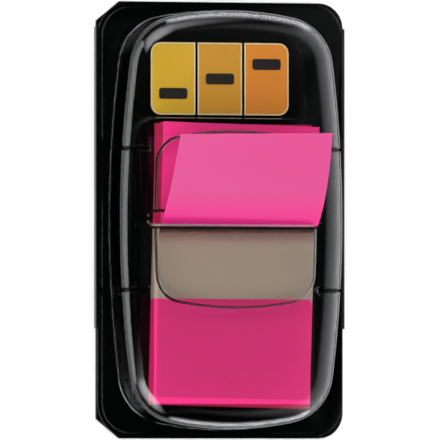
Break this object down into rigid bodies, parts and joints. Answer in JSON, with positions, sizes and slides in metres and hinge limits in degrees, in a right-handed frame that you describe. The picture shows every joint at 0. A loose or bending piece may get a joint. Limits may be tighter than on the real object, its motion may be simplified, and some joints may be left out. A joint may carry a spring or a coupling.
{
  "type": "pop-up pack of index tabs",
  "caption": "Flat pop-up pack of film index tabs: a black back, a domed clear cover with a slot, and a pink-ended pad with one tab popped up through the slot.",
  "frame": {"origin": "bottom centre of the back, where the pack lies on its back", "axes": "+Z out of the pack's face, +Y along it towards the label, +X across it to the right"},
  "size_m": [0.0406, 0.0676, 0.0169],
  "materials": {
    "black_sheet": "black formed sheet, satin to glossy",
    "clear_sheet": "clear formed sheet, glossy",
    "tab_film": "stack of thin clear film, looks beige",
    "tab_pink": "bright pink print on film, satin",
    "clear_film": "clear film, slightly milky",
    "print_yellow": "yellow print, satin",
    "print_amber": "amber print, satin",
    "print_orange": "orange print, satin",
    "print_dark": "dark print, satin"
  },
  "bodies": {
    "root": {"back_tray": "black_sheet", "clear_cover": "clear_sheet", "tab_pad": "tab_film", "pad_colour_upper": "tab_pink", "pad_colour_lower": "tab_pink", "raised_tab": "clear_film", "raised_tab_colour": "tab_pink", "label_yellow": "print_yellow", "label_amber": "print_amber", "label_orange": "print_orange", "label_bars": "print_dark"}
  },
  "joints": []
}
